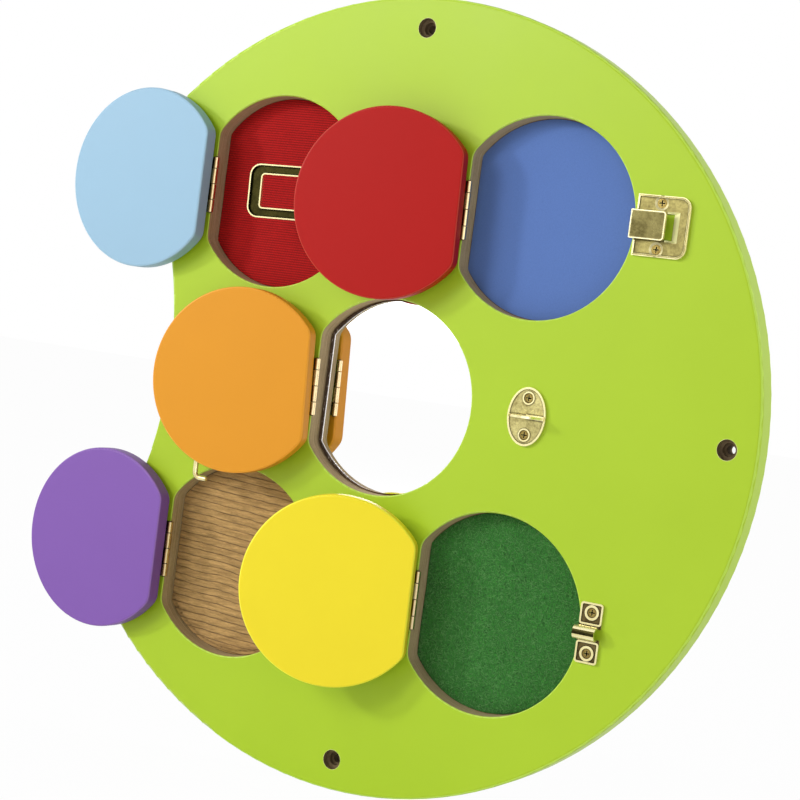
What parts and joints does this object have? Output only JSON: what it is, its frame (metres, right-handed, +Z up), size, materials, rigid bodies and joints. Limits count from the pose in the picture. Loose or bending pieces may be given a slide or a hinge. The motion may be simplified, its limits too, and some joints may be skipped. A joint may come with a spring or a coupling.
{
  "type": "busy board",
  "caption": "Round wooden busy board with a side notch: coloured D-shaped doors with brass latches open onto pockets lined with fabrics and a mirror.",
  "frame": {"origin": "centre of the disc on its flat back face", "axes": "+X right, +Z up, -Y out of the front of the board, towards the child"},
  "size_m": [0.553, 0.0714, 0.55],
  "materials": {
    "green_paint": "satin paint on board",
    "back_panel": "raw hardboard",
    "light_blue_paint": "satin paint",
    "red_paint": "satin paint",
    "orange_paint": "satin paint",
    "purple_paint": "satin paint",
    "yellow_paint": "satin paint",
    "red_fabric": "fine ribbed cloth",
    "blue_fabric": "brushed cloth",
    "corduroy": "corduroy",
    "green_felt": "felt",
    "mirror": "flat mirror sheet",
    "brass": "polished, lacquered",
    "screw_brass": "cross-slotted heads"
  },
  "bodies": {
    "board": {"front_board": "green_paint", "back_panel": "back_panel", "back_panel_screws": "screw_brass", "red_fabric": "red_fabric", "blue_pad": "blue_fabric", "mirror": "mirror", "corduroy": "corduroy", "green_felt": "green_felt", "hinge_board_screws": "screw_brass", "light_blue_board_leaf": "brass", "red_board_leaf": "brass", "orange_board_leaf": "brass", "purple_board_leaf": "brass", "yellow_board_leaf": "brass", "light_blue_hinge_pin": "brass", "red_hinge_pin": "brass", "orange_hinge_pin": "brass", "purple_hinge_pin": "brass", "yellow_hinge_pin": "brass", "catch_plate": "brass", "catch_screws": "screw_brass", "eye_plate": "brass", "eye_screws": "screw_brass", "bolt_keeper": "brass", "keeper_screws": "screw_brass", "button_washers": "brass", "button_screws": "screw_brass"},
    "light_blue_door": {"light_blue_door": "light_blue_paint", "light_blue_door_leaf": "brass", "light_blue_hinge_screws": "screw_brass"},
    "red_door": {"red_door": "red_paint", "red_door_leaf": "brass", "red_hinge_screws": "screw_brass", "hasp_frame": "brass", "hasp_screws": "screw_brass"},
    "orange_door": {"orange_door": "orange_paint", "orange_door_leaf": "brass", "orange_hinge_screws": "screw_brass", "hook_base": "brass", "hook_screws": "screw_brass"},
    "purple_door": {"purple_door": "purple_paint", "purple_door_leaf": "brass", "purple_hinge_screws": "screw_brass"},
    "yellow_door": {"yellow_door": "yellow_paint", "yellow_door_leaf": "brass", "yellow_hinge_screws": "screw_brass", "bolt_housing": "brass", "bolt_screws": "screw_brass"},
    "slider": {"catch_slider": "brass"},
    "hook": {"cabin_hook": "brass"},
    "bolt": {"bolt_rod": "brass"},
    "upper_button": {"blue_turn_button": "brass"},
    "lower_button": {"purple_turn_button": "brass"}
  },
  "joints": [
    {"name": "light_blue_swing", "type": "hinge", "parent": "board", "child": "light_blue_door", "pos_m": [-0.1575, -0.0202, 0.1328], "axis": [0, 0, -1], "range_deg": [-183, 0]},
    {"name": "red_swing", "type": "hinge", "parent": "board", "child": "red_door", "pos_m": [0.0491, -0.0202, 0.1328], "axis": [0.0148, 0, -0.9999], "range_deg": [-170, 0]},
    {"name": "orange_swing", "type": "hinge", "parent": "board", "child": "orange_door", "pos_m": [-0.0509, -0.0202, 0], "axis": [0.0253, 0, -0.9997], "range_deg": [-171.2, 0]},
    {"name": "purple_swing", "type": "hinge", "parent": "board", "child": "purple_door", "pos_m": [-0.1575, -0.0202, -0.1328], "axis": [0, 0, -1], "range_deg": [-183, 0]},
    {"name": "yellow_swing", "type": "hinge", "parent": "board", "child": "yellow_door", "pos_m": [0.0491, -0.0202, -0.1328], "axis": [0.0079, 0, -1], "range_deg": [-161, 0]},
    {"name": "slider_slide", "type": "slide", "parent": "board", "child": "slider", "axis": [1, 0, 0], "range_m": [0, 0.009]},
    {"name": "hook_swing", "type": "hinge", "parent": "orange_door", "child": "hook", "pos_m": [-0.1359, -0.02848, 0.0032], "axis": [-0.1529, 0.9882, -0.0039], "range_deg": [0, 90]},
    {"name": "bolt_slide", "type": "slide", "parent": "yellow_door", "child": "bolt", "axis": [-0.9454, -0.3256, -0.0153], "range_m": [0, 0.015]},
    {"name": "upper_button_turn", "type": "hinge", "parent": "board", "child": "upper_button", "pos_m": [-0.0288, -0.0197, 0.1328], "axis": [0, -1, 0], "range_deg": [0, 90]},
    {"name": "lower_button_turn", "type": "hinge", "parent": "board", "child": "lower_button", "pos_m": [-0.0288, -0.0197, -0.1328], "axis": [0, -1, 0], "range_deg": [0, 90]}
  ],
  "couplings": [
    {"joint": "light_blue_swing", "follows": "red_swing", "ratio": 1.0765},
    {"joint": "purple_swing", "follows": "yellow_swing", "ratio": 1.1366},
    {"joint": "orange_swing", "follows": "yellow_swing", "ratio": 1.0634}
  ]
}
